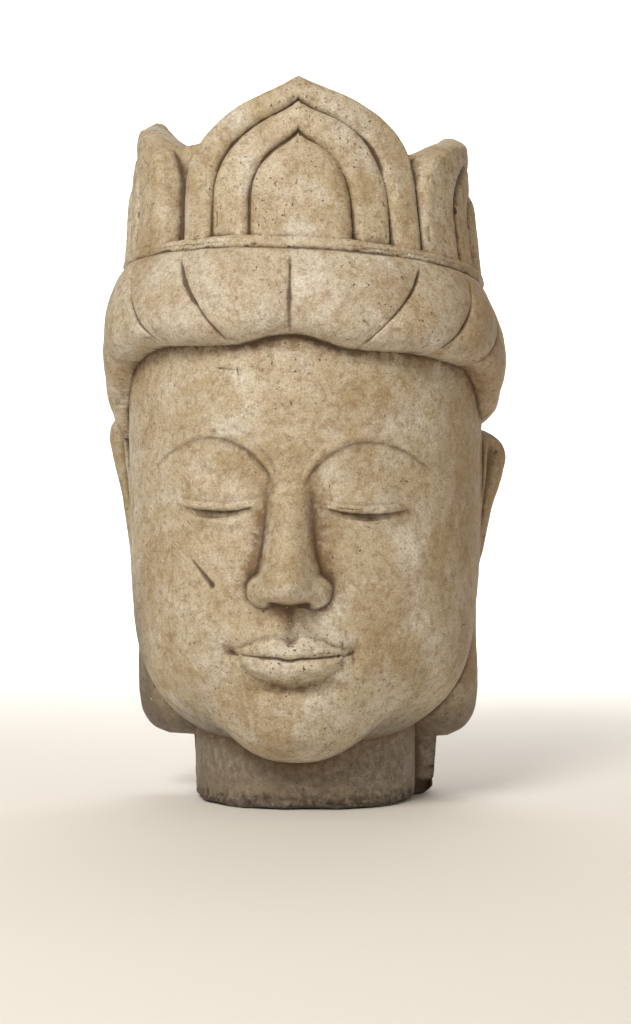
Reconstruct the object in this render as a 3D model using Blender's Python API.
"""Crowned bodhisattva head, carved from one block of marble and cut off at the neck.

The head faces -Y and stands on its neck, with +Z up and the proper left side at +X.
It is worked as a stone carver would: rough masses first, each known by how far it
reaches from the head's upright axis, then joined, then the relief is cut into them.
Lengths are in parts, of which the whole height has 400, as a figure's canon has them.
"""
import math

import bmesh
import bpy
import numpy as np

# Driving size, in metres
HEIGHT = 0.400
PART = HEIGHT / 400

# Levels above the neck cut, in parts
CROWN_TIP = 399.6
CROWN_CORE_TOP = 366.0
CROWN_BASE = 310.0
RIM_BASE = 303.0
HAIRLINE = 251.0
EAR_TOP = 225.0
CHIN = 28.0
LOBE_BASE = 35.0

# Crown: where each petal is centred in degrees from the front, its half width, how much its shoulders
# slope from right to left, and the height of its point
PETALS = ((3.8, 75.0, 0.08, CROWN_TIP), (90.0, 87.0, 0, 392.5), (180.0, 87.0, 0, 394.0),
          (-90.0, 87.0, 0, 397.0))
OUTER_ARCH_HALF_WIDTH = 51.0
INNER_ARCH_HALF_WIDTH = 29.0
PETAL_PROUD = 11.0
CORE_RADIUS_LOW = 94.0
CORE_RADIUS_HIGH = 86.0
GROOVE_HALF_WIDTH = 4.0
GROOVE_DEPTH = 3.6
CROWN_DISH_DEPTH = 9.0
RIM_RADIUS = 102.6

# Hair
ROLL_HALF_WIDTH = 118.5
ROLL_DEPTH_FRONT = 121.0
ROLL_DEPTH_BACK = 122.0
LOCK_GROOVE = 4.0
LOCKS_AT_RIM = (36.0, 58.5, 81.0, 104.0, 128.0, 153.0)
LOCK_SWEEP = 20.0
PARTING_AT = 0.5
LOCKS_TURNED = 3.0

# Neck: the throat, and the wider block of stone left behind it
THROAT_HALF_WIDTH = 64.5
THROAT_DEPTH = 61.0
NAPE_HALF_WIDTH = 70.0
NAPE_DEPTH = 86.0
NAPE_STARTS_AT = 97.0

# Face canon: the face is five eyes wide, the eyes are halfway up the skull, whose top the crown hides
FACE_HALF_WIDTH = 100.0
EYE_WIDTH = 2 * FACE_HALF_WIDTH / 5
SKULL_TOP = 318.0
EYE_LINE = (CHIN + SKULL_TOP) / 2
BROW_TOP = EYE_LINE + 0.80 * EYE_WIDTH
NOSE_BASE = (BROW_TOP + CHIN) / 2
MOUTH_LINE = NOSE_BASE - (NOSE_BASE - CHIN) / 3
NOSE_REACH = 26.0

# The carver's levels drift: the crown leans back, and everything sits lower on the proper left
LEAN_SIDE = 0.045
LEAN_BACK = 0.025

# How finely the stone is cut
MERIDIANS = 400
COUNT_TOP = 44
COUNT_SIDE = 330
COUNT_BASE = 22
SAMPLES = 1000
TRIANGLES = 9600

MARBLE = (0.60, 0.51, 0.38, 1.0)


def smooth(low, high, x):
    """0 below low, 1 above high, and an even S between."""
    t = np.clip((x - low) / (high - low), 0, 1)
    return t * t * (3 - 2 * t)


def hump(x, reach):
    """A soft hill of height 1, gone at reach on either side."""
    return np.clip(1 - (x / reach) ** 2, 0, None) ** 2


def mound(across, up, width, height):
    """A soft round hill of height 1."""
    return np.exp(-((across / width) ** 2) - (up / height) ** 2)


def joined(a, b, blend):
    """The outer of two masses, with the corner between them filled over the blend length."""
    share = np.clip(0.5 + (a - b) / (2 * blend), 0, 1)
    return b + (a - b) * share + blend * share * (1 - share)


def through(stations, x):
    """A smooth curve through (x, value) stations, level beyond its ends."""
    at, value = np.array(stations, float).T
    slope = np.gradient(value, at)
    fine = np.linspace(at[0], at[-1], 600)
    cell = np.clip(np.searchsorted(at, fine) - 1, 0, len(at) - 2)
    gap = at[cell + 1] - at[cell]
    t = (fine - at[cell]) / gap
    rise = value[cell + 1] - value[cell]
    bend = gap * slope[cell] * t * (1 - t) ** 2 - gap * slope[cell + 1] * t * t * (1 - t)
    return np.interp(x, fine, value[cell] + rise * t * t * (3 - 2 * t) + bend)


def groove(distance, half_width, depth):
    """A V cut with softened shoulders."""
    return -depth * np.clip(1 - np.abs(distance) / half_width, 0, 1) ** 1.3


def oval(angle, half_width, front, back, power=2.2):
    """How far a rounded plan reaches from the axis."""
    across = np.abs(np.sin(angle)) / half_width
    along = np.abs(np.cos(angle)) / np.where(np.cos(angle) > 0, front, back)
    return (across**power + along**power) ** (-1 / power)


def egg(angle, z, centre, radii, power=2):
    """How far an egg-shaped mass reaches from the axis, and 0 where it is missed.

    The centre is (to the side, in front, up), and the mass stands on both sides.
    """
    side, ahead, up = centre
    wide, deep, tall = radii
    level = 1 - np.abs((z - up) / tall) ** power
    s = np.abs(np.sin(angle))
    c = np.cos(angle)
    a = (s / wide) ** 2 + (c / deep) ** 2
    b = s * side / wide**2 + c * ahead / deep**2
    rest = (side / wide) ** 2 + (ahead / deep) ** 2 - level
    inside = b * b - a * rest
    reach = (b + np.sqrt(np.clip(inside, 0, None))) / a
    return np.where(inside > 0, np.clip(reach, 0, None), 0)


def petal_ogee(share):
    """Half width of the petal's pointed arch, as a share, at a share of its height."""
    return through([(0, 1), (0.25, 1), (0.42, 0.98), (0.56, 0.915), (0.68, 0.80), (0.75, 0.69),
                    (0.81, 0.565), (0.86, 0.43), (0.90, 0.295), (0.94, 0.155), (0.97, 0.07), (1, 0)], share)


def petal_height(across, half_width, tall):
    """Height of the arch over its springing, at a distance across from its middle."""
    share = np.linspace(1, 0, 120)
    return tall * np.interp(across / half_width, petal_ogee(share), share)


def inside_arch(across, up, half_width, tall):
    """Distance in from the outline of a pointed arch, negative outside it."""
    share = np.clip(up / tall, 0, 1)
    step = 0.02
    steep = (petal_ogee(share + step) - petal_ogee(share - step)) / (2 * step) * half_width / tall
    over = np.clip(up - tall, 0, None)
    return (half_width * petal_ogee(share) - np.abs(across)) / np.sqrt(1 + steep**2) - over


def petal_across(angle, centre):
    """Distance along the crown from the middle of a petal."""
    off = (angle - math.radians(centre) + math.pi) % (2 * math.pi) - math.pi
    return off * (CORE_RADIUS_LOW + PETAL_PROUD - 2)


def crown_edge(angle):
    """Height of the crown's top edge: the petals' points over the core between them."""
    edge = np.full_like(angle, CROWN_CORE_TOP)
    for centre, half_width, slope, tip in PETALS:
        across = petal_across(angle, centre)
        arch = petal_height(np.abs(across), half_width, tip - CROWN_BASE)
        arch = arch + slope * across * smooth(15, 60, arch)
        edge = joined(edge, CROWN_BASE + arch, 1.5)
    return edge


def crown(angle, z):
    """The drum with its petals, each cut with two nested arches."""
    up = z - CROWN_BASE
    lift = np.clip(up / (CROWN_TIP - CROWN_BASE), 0, 1)
    core = CORE_RADIUS_LOW + (CORE_RADIUS_HIGH - CORE_RADIUS_LOW) * lift + 0 * angle
    drum = core
    for centre, half_width, slope, tip in PETALS:
        tall = tip - CROWN_BASE
        across = petal_across(angle, centre)
        rise = up - slope * across * smooth(15, 60, up)
        edge = inside_arch(across, rise, half_width, tall)
        outer = inside_arch(across, rise, OUTER_ARCH_HALF_WIDTH, 0.83 * tall)
        inner = inside_arch(across, rise, INNER_ARCH_HALF_WIDTH, 0.64 * tall)
        round_edge = 4.5 + 5.0 * smooth(70, 20, up)
        proud = PETAL_PROUD * np.sqrt(smooth(-0.5, round_edge, edge))
        cuts = groove(outer, GROOVE_HALF_WIDTH, GROOVE_DEPTH) + groove(inner, GROOVE_HALF_WIDTH, GROOVE_DEPTH)
        nested = -1.2 * smooth(-2.0, 2.0, outer) - 0.8 * smooth(-2.0, 2.0, inner)
        pillow = 2.4 * smooth(0, 24.0, inner)
        drum = np.maximum(drum, core + proud + cuts + nested + pillow)
    return np.where(z > RIM_BASE, drum, 0)


def rim(z):
    """The half-round bead that the crown sits on."""
    middle = (CROWN_BASE + RIM_BASE) / 2
    half = (CROWN_BASE - RIM_BASE) / 2
    inside = half**2 - (z - middle) ** 2
    return np.where(inside > 0, RIM_RADIUS + np.sqrt(np.clip(inside, 0, None)), 0)


def low_lock(angle):
    """The lock over the right ear hangs lower and fuller than the one over the left."""
    return hump(np.degrees(angle) + 92, 45)


def hair_base(angle):
    """Lower edge of the rolled hair: straight over the brow, down the temples to the ears."""
    turned = np.degrees(np.abs(angle))
    notch = 7.0 * hump(np.degrees(angle) - PARTING_AT, 17.0)
    return through([(0, HAIRLINE), (56, HAIRLINE), (68, 248), (76, 238), (84, EAR_TOP - 2),
                    (100, EAR_TOP - 2), (130, 232), (180, 238)], turned) + notch - 12.0 * low_lock(angle)


def lock_relief(angle, share):
    """Height of the plump locks between their grooves, which sweep forward on the way down."""
    turned = np.degrees(angle)
    sweep = (LOCK_SWEEP - 3 * (angle < 0)) * np.clip(share, 0, 1) ** 1.4
    gap = np.full(np.broadcast(turned, share).shape, 360.0)
    for at in LOCKS_AT_RIM:
        aside = LOCKS_TURNED * (at < 70)
        gap = np.minimum(gap, np.abs(np.abs(turned - aside) - at + sweep))
    gap = np.minimum(gap, np.abs(turned - PARTING_AT))
    gap = np.minimum(gap, 180 - np.abs(turned))
    return 1 - np.exp(-gap / 1.8) - 0.35 * np.exp(-((gap / 7.0) ** 2))


def hair_roll(angle, z):
    """The rolled hair band under the crown."""
    base = hair_base(angle)
    share = (RIM_BASE - z) / (RIM_BASE - base)
    swell = through([(221, 108.5), (233, 113.5), (245, 117.0), (257, ROLL_HALF_WIDTH), (269, 118.0),
                     (281, 115.5), (292, 111.0), (299, 107.0), (RIM_BASE, 104.0)], z) / ROLL_HALF_WIDTH
    plan = oval(angle, ROLL_HALF_WIDTH, ROLL_DEPTH_FRONT, ROLL_DEPTH_BACK)
    over = z - base
    tuck = 1 - np.clip(over / 13.0, 0, 1)
    under = (12.0 - 7.0 * low_lock(angle)) * (1 - np.sqrt(1 - tuck**2))
    relief = lock_relief(angle, share) * smooth(0, 0.10, share)
    line = 1.2 * hump(z - RIM_BASE, 1.8)
    reach = plan * swell - LOCK_GROOVE * (1 - relief) * smooth(0, 0.25, share) - under - line
    return np.where((share > -0.05) & (share < 1), reach, 0)


def skull_and_jaw(angle, z):
    """The head's mass from the crown down to the jaw and chin."""
    skull = egg(angle, z, (0, -6, 200), (FACE_HALF_WIDTH + 4, 113, 140), power=4)
    jaw = egg(angle, z, (0, 12, 120), (FACE_HALF_WIDTH - 1, 97, 121 - CHIN), power=2.7)
    chin = egg(angle, z, (0, 64, CHIN + 29), (42, 37, 30))
    face = joined(joined(skull, jaw, 8), chin, 16)
    return face * (1 - 0.2 * smooth(285, 304, z)) * (np.cos(angle) > -0.25)


def nape(angle, z):
    """Hair drawn down behind the ears in long flat strands, over the block left at the nape."""
    wide = through([(0, 0), (60, 6), (90, 14), (120, 22), (150, 27), (200, 30), (250, 31)], z)
    deep = through([(0, 0), (60, 2), (100, 9), (150, 22), (200, 27), (250, 28)], z)
    half = NAPE_HALF_WIDTH + wide + 4.5 * np.sign(angle) * smooth(90, 40, z)
    mass = oval(angle, half, 40, NAPE_DEPTH + deep, power=2.7)
    strand = np.abs(np.sin(np.degrees(angle) * math.pi / 13))
    strands = -2.2 * (1 - strand) ** 2.5 * smooth(25, 60, z)
    behind = smooth(NAPE_STARTS_AT - 1.2, NAPE_STARTS_AT + 1.2, np.degrees(np.abs(angle)))
    return (mass + strands) * behind * (1 - 0.2 * smooth(242, 265, z)) * (z < 290)


def throat(angle, z):
    """The neck proper, upright and flattened in front."""
    return oval(angle, THROAT_HALF_WIDTH, THROAT_DEPTH, NAPE_DEPTH) * (z < 110)


def ear(angle, z):
    """One long-lobed ear on each side, flaring out to its rim and cut with the usual folds."""
    z = z + 4.0 * (angle > 0) * smooth(140, 200, z)
    out = through([(LOBE_BASE, 84), (39, 92), (46, 98), (58, 101), (72, 101.5), (95, 101), (120, 103),
                   (145, 107.5), (178, 114), (200, 119.5), (214, 121.5), (EAR_TOP, 118)], z)
    out = out - np.sign(angle) * through([(LOBE_BASE, 0), (100, 1.0), (140, 2.6), (175, 2.0), (214, 2.8)], z)
    front = through([(LOBE_BASE, 8), (42, -3), (60, -10), (90, -8), (125, -3), (160, -5), (195, -8),
                     (214, -4), (EAR_TOP, 12)], z)
    back = through([(LOBE_BASE, 16), (42, 32), (60, 40), (90, 38), (125, 36), (160, 42), (195, 51), (214, 46),
                    (EAR_TOP, 26)], z)
    s = np.clip(np.abs(np.sin(angle)), 0.2, 1)
    y = -out * np.cos(angle) / s
    along = 2 * (y - front) / (back - front) - 1
    past = np.clip(y - back, 0, None)
    inset = np.clip(np.minimum(y - front, back - y), 0, None)
    round_lobe = np.clip(1 - np.abs(along) ** 2.4, 0, 1) ** 0.5
    lobe = out - 27 * (1 - round_lobe)
    stands = 99.5 + (out - 99.5) * (0.10 + 0.90 * smooth(-1.6, 0.9, along))
    edge = 4.0 * (1 - np.sqrt(np.clip(1 - (1 - np.clip(inset / 3.5, 0, 1)) ** 2, 0, 1)))
    rim_in = np.minimum(inset + 3.0 * (along < 0), EAR_TOP - z)
    helix = 2.6 * hump(rim_in - 4.0, 5.5)
    scapha = -8.0 * hump(rim_in - 12.5, 6.5) * smooth(-0.9, -0.3, along)
    fold = 2.6 * hump(rim_in - 19.5, 5.0) * smooth(-0.6, 0.0, along)
    concha = -10.0 * hump(np.hypot((y - 12) / 12, (z - 172) / 22), 1.0)
    tragus = 3.0 * mound(y + 1, z - 172, 4.0, 9)
    upper = smooth(112, 150, z)
    carved = stands - edge + helix + scapha + fold + concha + tragus
    height = lobe + (carved - lobe) * upper - past * (1.4 + 2.6 * (1 - upper))
    inside = (y > front) & (past < 14) & (z > LOBE_BASE) & (z < EAR_TOP)
    return np.where(inside, height / s, 0)


def brow_and_socket(x, z):
    """The arris of the brow, and the hollow under it that the eye lies in."""
    arc = through([(4, EYE_LINE + 1), (9, EYE_LINE + 10), (16, EYE_LINE + 19), (28, BROW_TOP - 4),
                   (43, BROW_TOP), (58, BROW_TOP - 3), (72, BROW_TOP - 11), (86, BROW_TOP - 23)], x)
    below = arc - z
    over_eye = smooth(3, 12, x) * (1 - smooth(70, 92, x))
    hollow = -12.5 * smooth(-0.5, 10, below) * smooth(EYE_LINE - 28, EYE_LINE - 6, z)
    arris = 2.6 * hump(below + 1.5, 6)
    return (hollow + arris) * over_eye


def eye(x, z):
    """A lowered lid over the eyeball, with the narrow opening under its edge."""
    centre = EYE_WIDTH + 1
    ball = np.hypot((x - centre) / (0.84 * EYE_WIDTH), (z - EYE_LINE + 2) / (0.56 * EYE_WIDTH))
    lid = 16.5 * np.clip(1 - ball**2, 0, 1) ** 0.75
    along = (x - centre - 1) / (0.72 * EYE_WIDTH)
    slit = EYE_LINE - 8.5 + 4.6 * along**2 + 1.2 * along
    tall = 3.8 * np.clip(1 - along**2, 0, 1) ** 0.6 + 0.01
    below = slit - z
    ends = smooth(1.15, 0.85, np.abs(along))
    edge = 2.4 * hump(below + 1.8, 3.2) * ends
    cut = -3.8 * smooth(-0.4, 0.7, below) * smooth(tall + 0.9, tall - 0.5, below) * ends
    lower = 2.0 * hump(below - tall - 2.6, 3.8) * ends
    crease = -1.6 * hump((ball - 0.88) * 19, 2.4) * smooth(EYE_LINE - 2, EYE_LINE + 6, z) * smooth(17, 25, x)
    return lid + edge + cut + lower + crease


def nose(x, z):
    """A straight wedge widening to a rounded tip, with a wing and nostril on each side."""
    base = NOSE_BASE
    root = EYE_LINE + 14
    share = np.clip((root - z) / (root - base), 0, 1.1)
    ridge = NOSE_REACH * through([(0, 0.14), (0.15, 0.20), (0.4, 0.42), (0.7, 0.76), (0.84, 0.96),
                                  (0.92, 1.0), (0.98, 0.92), (1.04, 0.66)], share)
    under = smooth(base - 3.0, base + 3.5, z)
    half = through([(0, 11), (0.3, 12.5), (0.6, 15), (0.85, 19), (1, 19)], share)
    bridge = ridge * under * np.clip(1 - (x / half) ** 2.4, 0, 1) ** 1.3
    wing = 12.5 * np.clip(1 - ((x - 13.0) / 10.0) ** 2 - ((z - base - 6.5) / 10.0) ** 2, 0, 1) ** 0.75
    nostril = -4.0 * mound(x - 8.5, z - base + 0.5, 4.2, 2.4)
    fade = smooth(root + 14, root - 6, z)
    return joined(bridge * fade, wing, 5.0) - 1.25 + nostril


def mouth(x, z):
    """Closed lips on a soft mound, their corners lifted a little."""
    half = 0.76 * EYE_WIDTH
    along = x / half
    line = MOUTH_LINE + 2.4 * np.clip(along, 0, 1.15) ** 2 - 0.9 * hump(x, 7)
    above = z - line
    upper_tall = half * through([(0, 0.25), (0.25, 0.32), (0.5, 0.27), (0.8, 0.13), (1, 0.03)], along) + 0.6
    lower_tall = 0.42 * half * np.sqrt(np.clip(1 - (along / 0.90) ** 2, 0, 1)) + 0.6
    full = np.clip(1 - along**2, 0, 1) ** 0.6
    up = above / upper_tall
    down = -above / lower_tall
    upper = 5.4 * through([(0, 0.66), (0.35, 1.0), (0.7, 0.70), (0.95, 0.26), (1.15, 0.0)], up)
    lower = 6.4 * through([(0, 0.58), (0.38, 1.0), (0.75, 0.76), (0.95, 0.30), (1.15, 0.0)], down)
    lips = full * np.where(above > 0, upper, lower)
    muzzle = 5.0 * mound(x, z - MOUTH_LINE, 34, 26)
    parting = -1.8 * np.exp(-((above / 1.3) ** 2)) * smooth(1.14, 0.98, along)
    corner = -3.4 * mound(x - half - 1.5, above, 6, 6)
    furrow = -1.6 * hump(x, 5) * smooth(MOUTH_LINE + 5, MOUTH_LINE + 9, z)
    furrow = furrow * smooth(NOSE_BASE + 1, NOSE_BASE - 4, z)
    fold = -3.0 * mound(x, z - MOUTH_LINE + 16.5, 22, 5.5)
    return muzzle + lips + parting + corner + furrow + fold


def face_relief(x, z):
    """How far the carved features stand in front of the head's mass."""
    x = np.abs(x)
    cheeks = 2.0 * mound(x - 50, z - NOSE_BASE - 10, 27, 26)
    return joined(brow_and_socket(x, z) + eye(x, z), nose(x, z), 2.5) - 0.2 + mouth(x, z) + cheeks


def surface(angle, z):
    """Points of the head's outer surface, at an angle from the front and a level."""
    head = skull_and_jaw(angle, z) * (z < CROWN_BASE)
    body = joined(head, throat(angle, z), 1.5)
    body = joined(body, nape(angle, z), 0.8)
    body = joined(body, ear(angle, z), 0.8)
    body = joined(body, hair_roll(angle, z), 0.6)
    body = np.maximum(np.maximum(body, rim(z)), crown(angle, z))
    ahead = smooth(0.1, 0.5, np.cos(angle)) * smooth(CHIN + 3, CHIN + 16, z)
    ahead = ahead * smooth(HAIRLINE - 4, HAIRLINE - 20, z)
    x = body * np.sin(angle)
    relief = np.where(ahead > 0, face_relief(x, z), 0) * ahead
    return np.stack([x, -body * np.cos(angle) - relief, z + 0 * body], axis=-1)


def crown_top(angle, outer):
    """From the middle of the crown's dished top up the petals' sloping inner faces to their edge."""
    share = np.linspace(0, 1, SAMPLES // 4)[:, None]
    floor = CROWN_CORE_TOP - CROWN_DISH_DEPTH * (1 - smooth(0.15, 0.7, share))
    rise = through([(0, 0), (0.45, 0), (0.60, 0.15), (0.75, 0.45), (0.88, 0.78), (0.96, 0.99),
                    (1, 0.985)], share)
    reach = np.hypot(outer[:, 0], outer[:, 1]) * share
    level = floor + (crown_edge(angle) - CROWN_CORE_TOP) * rise
    level[-1] = outer[:, 2]
    return np.stack([reach * np.sin(angle), -reach * np.cos(angle), level], axis=-1)


def neck_cut(angle, outer):
    """The flat cut that the head stands on, out to its broken edge."""
    share = np.linspace(1, 0, SAMPLES // 8)[:, None]
    reach = np.hypot(outer[:, 0], outer[:, 1]) * share
    chipped = 1.5 + 1.2 * np.sin(5 * angle + 1) + 0.9 * np.sin(13 * angle)
    chipped = chipped + 11.0 * hump(np.degrees(angle) - 111, 18)
    level = np.clip(chipped, 0.4, None) * smooth(0.90, 1.0, share)
    return np.stack([reach * np.sin(angle), -reach * np.cos(angle), level], axis=-1)


def spread_rows(band, rows):
    """A band of samples down each meridian, cut to rows that lie evenly along the stone."""
    length = np.linalg.norm(np.diff(band, axis=0), axis=-1) + 1e-6
    down = np.vstack([np.zeros(band.shape[1]), np.cumsum(length, axis=0)])
    down /= down[-1]
    soften = np.hanning(9)[1:-1]
    soften /= soften.sum()
    wrapped = np.hstack([down[:, -3:], down, down[:, :3]])
    down = sum(weight * wrapped[:, k:k + band.shape[1]] for k, weight in enumerate(soften))
    wanted = np.linspace(0, 1, rows + 1)
    sample = np.arange(len(band))
    placed = np.empty((rows + 1, band.shape[1], 3))
    for j in range(band.shape[1]):
        at = np.interp(wanted, down[:, j], sample)
        for axis in range(3):
            placed[:, j, axis] = np.interp(at, sample, band[:, j, axis])
    return placed


def meridian_angles(count):
    """Angles from the front, closer together over the face than at the back."""
    even = np.linspace(-1, 1, 4001)
    density = 0.42 + 1.5 * np.exp(-((even / 0.10) ** 2)) + 0.9 * np.exp(-((even / 0.40) ** 4))
    density += 0.5 * np.exp(-(((np.abs(even) - 0.53) / 0.10) ** 2))
    along = np.cumsum(density)
    along = (along - along[0]) / (along[-1] - along[0])
    return math.pi * np.interp(np.arange(count) / count, along, even)


def lean(points):
    """The drift of the carver's levels, growing from nothing at the neck."""
    x, y, z = np.moveaxis(points, -1, 0)
    tilt = -LEAN_SIDE * x * smooth(20, 300, z) - LEAN_BACK * (y + 60) * smooth(235, 320, z)
    aside = -0.8 * smooth(50, 200, z) - 2.4 * smooth(280, 380, z)
    return np.stack([x + aside, y, z + tilt], axis=-1)


def on_its_foot(points):
    """The points set down on the ground plane, with the middle of their box over the origin."""
    low = points.min(axis=(0, 1))
    high = points.max(axis=(0, 1))
    return points - np.array([(low[0] + high[0]) / 2, (low[1] + high[1]) / 2, low[2]])


def stone_surface():
    """All rows of the head, from the middle of the crown to the middle of the neck cut, in parts."""
    angle = meridian_angles(MERIDIANS)[None, :]
    share = np.linspace(0, 1, SAMPLES)[:, None]
    foot = neck_cut(angle, surface(angle, np.zeros_like(angle))[0])[0, :, 2]
    edge = crown_edge(angle)
    side = surface(angle, edge + (foot - edge) * share)
    top = crown_top(angle, side[0])
    base = neck_cut(angle, side[-1])
    rows = [spread_rows(top, COUNT_TOP)[:-1], spread_rows(side, COUNT_SIDE)]
    rows.append(spread_rows(base, COUNT_BASE)[1:])
    return on_its_foot(lean(np.concatenate(rows)))


def carved_mesh():
    """A grid drawn out along the head's rows and meridians, closed up its seam and at both ends."""
    rows = stone_surface() * PART
    bm = bmesh.new()
    bmesh.ops.create_grid(bm, x_segments=MERIDIANS, y_segments=len(rows) - 1, size=1)
    for vert in bm.verts:
        meridian = round((vert.co.x + 1) / 2 * MERIDIANS) % MERIDIANS
        row = round((1 - vert.co.y) / 2 * (len(rows) - 1))
        vert.co = rows[row, meridian]
    open_ends = [vert for vert in bm.verts if vert.is_boundary]
    bmesh.ops.remove_doubles(bm, verts=open_ends, dist=1e-6)
    bmesh.ops.recalc_face_normals(bm, faces=bm.faces)
    mesh = bpy.data.meshes.new("buddha_head")
    bm.to_mesh(mesh)
    bm.free()
    return mesh


def marble():
    """Cream marble, honed and since weathered dull."""
    material = bpy.data.materials.new("weathered_marble")
    material.use_nodes = True
    shader = material.node_tree.nodes["Principled BSDF"]
    shader.inputs["Base Color"].default_value = MARBLE
    shader.inputs["Roughness"].default_value = 0.6
    return material


def main():
    for old in list(bpy.data.objects):
        bpy.data.objects.remove(old)
    collection = bpy.data.collections.new("marble_buddha_head")
    bpy.context.scene.collection.children.link(collection)
    mesh = carved_mesh()
    mesh.materials.append(marble())
    mesh.shade_smooth()
    head = bpy.data.objects.new("buddha_head", mesh)
    collection.objects.link(head)
    thin = head.modifiers.new("fewer_facets", "DECIMATE")
    thin.ratio = TRIANGLES / (2 * len(mesh.polygons))
    thin.use_collapse_triangulate = True


main()
